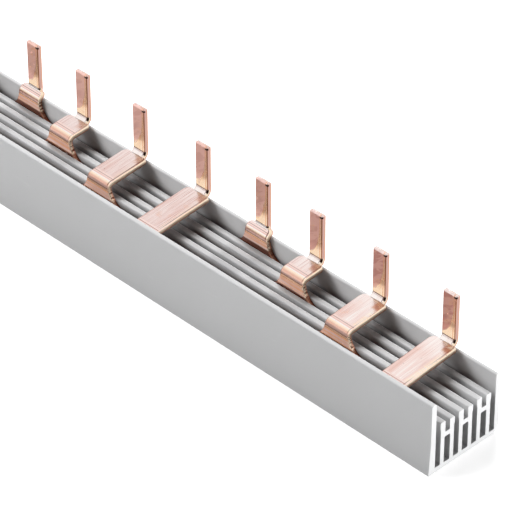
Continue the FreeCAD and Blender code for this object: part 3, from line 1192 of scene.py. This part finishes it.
@dataclass
class Comb:
    """A copper comb bar: a strip that stands in its channel, and three bent teeth.

    The rows are those of the blank's points, which lie close where it bends or is rounded. The
    line that the blank is folded along goes on past the pin's tip by the overrun.
    """

    bar: Bar
    trough: Trough
    thickness: float = 1.1
    strip_height: float = 8.7
    end_recess: float = 4.5
    module: float = 17.8
    modules: int = 12
    strap_width: float = 6.6
    strap_shift: float = 0.3
    strap_slope: float = 4.9
    joggle_slope: float = 50.0
    seat_gap: float = 0.1
    rim_gap: float = 0.05
    pin_width: float = 3.7
    pin_length: float = 11.9
    tab_bend: float = 0.4
    joggle_bend: float = 1.0
    pin_bend: float = 0.9
    flare: float = 4.8
    shoulder: float = 0.35
    left_rounding: float = 1.6
    right_rounding: float = 0.75
    root_rounding: float = 0.35
    tip_chamfer: float = 0.3
    tip_clearance: float = 0.01
    edge_roll: float = 0.32
    edge_burr: float = 0.08
    root_depth: float = 0.6
    root_play: float = 0.03
    least_roll: float = 0.03
    strip_chamfer: float = 0.12
    strip_rounding: float = 0.1
    bend_rows: int = 10
    corner_rows: int = 6
    pin_rows: int = 8
    strap_row: float = 1.2
    beside_bend: float = 0.12
    beside_roll: float = 0.09
    shoulder_row: float = 0.004
    least_row: float = 0.003
    roll_steps: int = 4
    burr_steps: int = 2
    fillet_steps: int = 32
    overrun: float = 1.0
    crease: float = 40.0

    @property
    def node(self) -> str:
        """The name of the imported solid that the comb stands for."""
        return f"comb_bar_{self.bar.name.lower()}"

    @property
    def face(self) -> float:
        """Where the strip's front face stands."""
        start = self.trough.inner_front + self.bar.channel * self.trough.pitch
        return start + (self.trough.channel - self.thickness) / 2 - self.trough.depth / 2

    @property
    def strip_top(self) -> float:
        """The height of the strip's top edge."""
        return self.trough.floor + self.strip_height

    def fold(self) -> Fold:
        """The side view of this bar's teeth.

        Returns:
            The line along the middle of the sheet.
        """
        pin_face = self.trough.depth / 2 - self.thickness
        run = pin_face - self.face
        half = self.thickness / 2
        strap_top = self.trough.back_height + self.seat_gap + self.thickness
        pin_top = strap_top + self.pin_length - self.tip_clearance
        if self.bar is Bar.D:
            slope = self.joggle_slope
            bend = self.joggle_bend
            bend_top = self.trough.back_height + self.rim_gap
            strap_top = bend_top + run * math.tan(math.radians(slope))
        else:
            slope = self.strap_slope
            bend = self.tab_bend
            bend_top = strap_top - run * math.tan(math.radians(slope))
        lean = math.radians(slope)
        setback = self.thickness * (1 - math.sin(lean)) / math.cos(lean)
        return Fold(
            foot=(self.face + half, self.strip_top - self.root_depth),
            first=(self.face + half, bend_top - setback / 2),
            second=(pin_face + half, strap_top - setback / 2),
            tip=(pin_face + half, pin_top),
            first_radius=bend + half,
            second_radius=self.pin_bend + half,
            slope=slope,
        )

    def sides(self, along: float, shoulder: float) -> Pair:
        """Where the blank's two edges are at a length along it.

        Args:
            along: The length from the foot of the blank.
            shoulder: Where the strap ends in its shoulders.

        Returns:
            The left and the right edge, from the middle of the pin.
        """
        if along > shoulder:
            spread = self.pull(self.root_rounding, shoulder + self.root_rounding - along)
            return -self.pin_width / 2 - spread, self.pin_width / 2 + spread
        half = self.strap_width / 2
        rise = max(along - self.root_depth, 0.0)
        spread = self.pull(self.flare, self.flare - rise)
        left = self.pull(self.left_rounding, along - shoulder + self.left_rounding)
        right = self.pull(self.right_rounding, along - shoulder + self.right_rounding)
        return left - spread - half - self.strap_shift, half - self.strap_shift + spread - right

    @staticmethod
    def pull(radius: float, over: float) -> float:
        """How far a rounding of an edge lies from it, over a length from the rounding's start."""
        return radius - math.sqrt(max(radius**2 - max(over, 0.0)**2, 0.0))

    def rows(self, fold: Fold) -> tuple[list[float], float]:
        """Where the blank has its rows of points, close in the bends and the roundings.

        Args:
            fold: The side view of the tooth.

        Returns:
            The lengths of the rows in order, and the length of the shoulder.
        """
        first_start, first_end, second_start, second_end, tip = fold.stations()
        shoulder = second_start + self.shoulder
        past_shoulder = shoulder + self.shoulder_row
        chamfer = tip - self.tip_chamfer
        rows = {0.0, self.root_depth, shoulder, past_shoulder, chamfer, tip}
        for step in range(self.bend_rows + 1):
            share = step / self.bend_rows
            rows.add(self.root_depth + self.flare * (1 - math.cos(share * math.pi / 2)))
            rows.add(first_start + (first_end - first_start) * share)
            rows.add(second_start + (second_end - second_start) * share)
        for step in range(self.corner_rows + 1):
            angle = math.pi / 2 * step / self.corner_rows
            rows.add(shoulder - self.left_rounding * (1 - math.sin(angle)))
            rows.add(shoulder - self.right_rounding * (1 - math.sin(angle)))
            rows.add(past_shoulder + self.root_rounding * (1 - math.cos(angle)))
        rows.update(edge - self.beside_bend for edge in (first_start, second_start, chamfer))
        rows.update(edge + self.beside_bend for edge in (first_end, second_end))
        strap = second_start - first_end
        pieces = int(strap / self.strap_row) + 1
        rows.update(first_end + strap * step / pieces for step in range(1, pieces))
        rows.update(second_end + (tip - second_end) * step / self.pin_rows
                    for step in range(1, self.pin_rows))
        ordered: list[float] = []
        for row in sorted(rows):
            if not ordered or row - ordered[-1] > self.least_row:
                ordered.append(row)
        return ordered, shoulder

    def ring(self, left: float, right: float, half: float,
             roll: float) -> list[tuple[float, float, float, float]]:
        """A cross section of the blank, seen along it.

        Args:
            left: Its left edge.
            right: Its right edge.
            half: Half its thickness.
            roll: The radius that the punch leaves on its upper edges.

        Returns:
            For each point its place across and through the sheet, and the same parts of the
            direction that it faces.
        """
        burr = self.edge_burr
        middle = (left + right) / 2
        inset = roll + self.beside_roll
        upper = [(across, half, 0.0, 1.0) for across in (left + inset, middle, right - inset)]
        inset = burr + self.beside_roll
        lower = [(across, -half, 0.0, -1.0) for across in (right - inset, middle, left + inset)]
        corners = (
            ([], left + roll, half - roll, roll, 180.0, self.roll_steps),
            (upper, right - roll, half - roll, roll, 90.0, self.roll_steps),
            ([], right - burr, burr - half, burr, 0.0, self.burr_steps),
            (lower, left + burr, burr - half, burr, -90.0, self.burr_steps),
        )
        points: list[tuple[float, float, float, float]] = []
        for before, across, through, radius, start, steps in corners:
            points += before
            for step in range(steps + 1):
                angle = math.radians(start - 90.0 * step / steps)
                aside, out = math.cos(angle), math.sin(angle)
                points.append((across + radius * aside, through + radius * out, aside, out))
        return points

    def blank(self, fold: Fold) -> Loft:
        """The flat tooth: X across it, Y along it from its foot, Z through it to its upper face.

        Args:
            fold: The side view of the tooth.

        Returns:
            The loft, with the attributes that the finish reads.
        """
        first_start, first_end, second_start, second_end, tip = fold.stations()
        rows, shoulder = self.rows(fold)
        loft = Loft()
        for along in rows:
            left, right = self.sides(along, shoulder)
            half = self.thickness / 2 - (self.root_play if along < self.root_depth else 0.0)
            cut = max(along - (tip - self.tip_chamfer), 0.0)
            ring = self.ring(left + cut, right - cut, half - cut,
                             max(self.edge_roll - cut, self.least_roll))
            phase = ((along - first_start) / (first_end - first_start),
                     (along - second_start) / (second_end - second_start),
                     (along - second_end) / (tip - second_end))
            loft.add_row(
                [(across, along, through) for across, through, _, _ in ring],
                blank=metres((across, along - self.root_depth, through)
                             for across, through, _, _ in ring),
                facing=[(aside, 0.0, out) for _, _, aside, out in ring],
                margin=[(across - left, right - across, tip - along) for across, _, _, _ in ring],
                phase=[phase] * len(ring),
            )
        return loft

    def strip(self) -> Loft:
        """The strip between the teeth, upright in its channel.

        Returns:
            The loft, with the attributes that the finish reads.
        """
        end = self.trough.length / 2 - self.end_recess
        chamfer = self.strip_chamfer
        middle = self.face + self.thickness / 2
        loft = Loft()
        for place, cut in ((-end, chamfer), (chamfer - end, 0.0), (end - chamfer, 0.0), (end, chamfer)):
            x = place + self.bar.slide
            near, far = self.face + cut, self.face + self.thickness - cut
            low, high = self.trough.floor + cut, self.strip_top - cut
            outline = Outline([Corner(across, up, self.strip_rounding) for across, up in
                               ((near, low), (far, low), (far, high), (near, high))], steps=2)
            ring = [(point.x / MM, point.y / MM) for point in outline.points()]
            loft.add_row(
                [(x, y, z) for y, z in ring],
                blank=metres((x, z - self.strip_top, middle - y) for y, z in ring),
                facing=[(0.0, 0.0, 1.0)] * len(ring),
                margin=[FAR_FROM_EDGES] * len(ring),
                phase=[BEFORE_THE_BENDS] * len(ring),
            )
        return loft

    def press(self, fold: Fold, material: bpy.types.Material) -> GeometryBench:
        """The tree that folds the blank along its line and sets it out along the strip.

        Args:
            fold: The side view of the tooth.
            material: The finish of the comb.

        Returns:
            The tree, ready to run on the blank and the strip.
        """
        poles = len(Bar)
        first_place = poles - 1 - self.bar.channel
        above = (fold.tip[0], fold.tip[1] + self.overrun)
        first_tooth = (first_place - (self.modules - 1) / 2) * self.module + self.bar.slide
        bench = GeometryBench("folded_and_set_out", {
            "Foot": ("NodeSocketVector", self.side_point(fold.foot)),
            "First corner": ("NodeSocketVector", self.side_point(fold.first)),
            "Second corner": ("NodeSocketVector", self.side_point(fold.second)),
            "Above the tip": ("NodeSocketVector", self.side_point(above)),
            "First radius": ("NodeSocketFloat", fold.first_radius * MM),
            "Second radius": ("NodeSocketFloat", fold.second_radius * MM),
            "Bend steps": ("NodeSocketInt", self.fillet_steps),
            "Teeth": ("NodeSocketInt", self.modules // poles),
            "First tooth": ("NodeSocketFloat", first_tooth * MM),
            "Tooth pitch": ("NodeSocketFloat", poles * self.module * MM),
            "Material": ("NodeSocketMaterial", material),
        })
        given = bench.given
        is_strip = bench.node("GeometryNodeInputNamedAttribute", {"data_type": "BOOLEAN"},
                              {"Name": "strip"})["Attribute"]
        apart = bench.node("GeometryNodeSeparateGeometry", {"domain": "POINT"},
                           {"Geometry": given["Geometry"], "Selection": is_strip})

        # the fold line, with its two corners rounded
        index = bench.node("GeometryNodeInputIndex")["Index"]
        stops = bench.node("GeometryNodeMeshLine", {"mode": "OFFSET"}, {"Count": 4})["Mesh"]
        corner = bench.node("GeometryNodeIndexSwitch", {"data_type": "VECTOR", "choices": 4}, {
            "Index": index, 1: given["Foot"], 2: given["First corner"],
            3: given["Second corner"], 4: given["Above the tip"],
        })["Output"]
        radius = bench.node("GeometryNodeIndexSwitch", {"data_type": "FLOAT", "choices": 4}, {
            "Index": index, 1: 0.0, 2: given["First radius"], 3: given["Second radius"], 4: 0.0,
        })["Output"]
        placed = bench.node("GeometryNodeSetPosition", None,
                            {"Geometry": stops, "Position": corner})["Geometry"]
        line = bench.node("GeometryNodeMeshToCurve", None, {"Mesh": placed})["Curve"]
        rounded = bench.node("GeometryNodeFilletCurve", {"mode": "POLY"},
                             {"Curve": line, "Count": given["Bend steps"], "Radius": radius})["Curve"]

        # each point goes to its length along the line, and through the sheet square to it
        across, along, through = bench.parts(bench.node("GeometryNodeInputPosition")["Position"])
        sample = bench.node("GeometryNodeSampleCurve", {"mode": "LENGTH"},
                            {"Curves": rounded, "Length": along})
        square = bench.vector_math("CROSS_PRODUCT", bench.vector(1.0, 0.0, 0.0), sample["Tangent"])
        lifted = bench.vector_math("SCALE", square, through)
        moved = bench.vector_math("ADD", sample["Position"], lifted)
        moved = bench.vector_math("ADD", moved, bench.vector(across, 0.0, 0.0))
        tooth = bench.node("GeometryNodeSetPosition", None,
                           {"Geometry": apart["Inverted"], "Position": moved})["Geometry"]

        # the teeth stand at equal steps along the strip
        places = bench.node("GeometryNodeMeshLine", {"mode": "OFFSET"}, {
            "Count": given["Teeth"],
            "Start Location": bench.vector(given["First tooth"], 0.0, 0.0),
            "Offset": bench.vector(given["Tooth pitch"], 0.0, 0.0),
        })["Mesh"]
        teeth = bench.node("GeometryNodeInstanceOnPoints", None,
                           {"Points": places, "Instance": tooth})["Instances"]
        joined = bench.node("GeometryNodeJoinGeometry", None,
                            {"Geometry": [teeth, apart["Selection"]]})["Geometry"]
        bench.close(joined)
        return bench

    @staticmethod
    def side_point(point: Pair) -> Triple:
        """A point of the side view as a place in the frame, in metres."""
        return 0.0, point[0] * MM, point[1] * MM

    def build(self, material: bpy.types.Material) -> bpy.types.Object:
        """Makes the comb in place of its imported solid.

        Args:
            material: The finish that the combs share.

        Returns:
            The piece.
        """
        fold = self.fold()
        mesh = Loft.mesh(self.node + "_blank", {False: self.blank(fold), True: self.strip()})
        piece = self.press(fold, material).run(self.node + "_copper", mesh)
        clean(piece.data, self.crease)
        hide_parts(self.node)
        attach(piece, "root")
        return piece


# the studio


@dataclass(frozen=True)
class SoftLamp:
    """A flat lamp, in metres, which the metal doesn't mirror: it mirrors the white room instead."""

    name: str
    place: Triple
    size: Pair
    watts: float
    aim: Triple = (0.0, 0.0, 0.0)

    def build(self) -> None:
        """Hangs the lamp."""
        data = bpy.data.lights.new(self.name, "AREA")
        data.shape = "RECTANGLE"
        data.size, data.size_y = self.size
        data.energy = self.watts
        lamp = bpy.data.objects.new(self.name, data)
        lamp.location = self.place
        towards = Vector(self.aim) - Vector(self.place)
        lamp.rotation_euler = towards.to_track_quat("-Z", "Y").to_euler()
        lamp.visible_glossy = False
        bpy.context.scene.collection.objects.link(lamp)


@dataclass
class Studio:
    """The pale floor, the soft light and the camera.

    Angles are degrees, the lens and its sensor are millimetres, and all other lengths are metres.
    """

    camera_place: Triple = (0.4791, -0.416225, 0.4656)
    azimuth: float = 44.485
    elevation: float = 37.068
    lens: float = 247.67
    sensor: float = 36.0
    sight: Pair = (0.01, 50.0)
    floor_size: float = 6.0
    floor_level: float = -0.05 * MM
    ambient: float = 0.05
    finish: PaperFloor = field(default_factory=PaperFloor)
    lamps: tuple[SoftLamp, ...] = (
        SoftLamp("rear_lamp", (-0.8, 0.75, 1.25), (0.8, 0.8), 29.0),
        SoftLamp("right_lamp", (1.4, 0.2, 0.12), (0.3, 0.2), 16.5),
        SoftLamp("front_lamp", (-1.1, -0.9, 1.05), (0.9, 0.9), 26.5),
    )

    def build_camera(self) -> None:
        """Sets up the camera where the photograph was taken from."""
        turn, rise = math.radians(self.azimuth), math.radians(self.elevation)
        level = math.cos(rise)
        look = Vector((-level * math.cos(turn), level * math.sin(turn), -math.sin(rise)))
        data = bpy.data.cameras.new("camera")
        data.lens = self.lens
        data.sensor_width = self.sensor
        data.sensor_fit = "HORIZONTAL"
        data.clip_start, data.clip_end = self.sight
        camera = bpy.data.objects.new("camera", data)
        camera.location = self.camera_place
        camera.rotation_euler = look.to_track_quat("-Z", "Y").to_euler()
        bpy.context.scene.collection.objects.link(camera)
        bpy.context.scene.camera = camera

    def build_floor(self) -> None:
        """Lays the floor."""
        half = self.floor_size / 2
        corners = [(x, y, self.floor_level)
                   for x, y in ((-half, -half), (half, -half), (half, half), (-half, half))]
        mesh = bpy.data.meshes.new("floor")
        mesh.from_pydata(corners, [], [(0, 1, 2, 3)])
        mesh.materials.append(self.finish.material())
        floor = bpy.data.objects.new("floor", mesh)
        bpy.context.scene.collection.objects.link(floor)

    def build_world(self) -> None:
        """Makes the even light of a white room, which the camera and the metal see as white."""
        world = bpy.data.worlds.new("white_room")
        world.use_nodes = True
        bench = Bench(world.node_tree)
        path = bench.node("ShaderNodeLightPath")
        seen = path["Is Camera Ray"].most(path["Is Glossy Ray"]).most(path["Is Transmission Ray"])
        light = bench.node("ShaderNodeBackground", None, {
            "Color": WHITE, "Strength": seen * (1.0 - self.ambient) + self.ambient,
        })
        bench.node("ShaderNodeOutputWorld", None, {"Surface": light["Background"]})
        bpy.context.scene.world = world

    def build(self) -> None:
        """Sets up the whole studio."""
        self.build_camera()
        self.build_floor()
        self.build_world()
        for lamp in self.lamps:
            lamp.build()
        bpy.context.scene.view_settings.view_transform = "Standard"


# the whole


@dataclass
class Busbar:
    """The comb busbar: the trough and its four combs."""

    trough: Trough = field(default_factory=Trough)
    copper: BareCopper = field(default_factory=BareCopper)

    def build(self) -> None:
        """Builds the pieces from the front to the back, and reports each one."""
        self.report(self.trough.build())
        material = self.copper.material()
        for bar in Bar:
            self.report(Comb(bar, self.trough).build(material))

    @staticmethod
    def report(piece: bpy.types.Object) -> None:
        """Says what a piece came to."""
        log.info("%s: %d faces, %s mm", piece.name, len(piece.data.polygons),
                 [round(side / MM, 2) for side in piece.dimensions])


def main() -> None:
    """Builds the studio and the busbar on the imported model."""
    logging.basicConfig(level=logging.INFO, format="%(name)s: %(message)s")
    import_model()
    Studio().build()
    Busbar().build()
    bpy.context.view_layer.update()


if __name__ == "__main__":
    main()
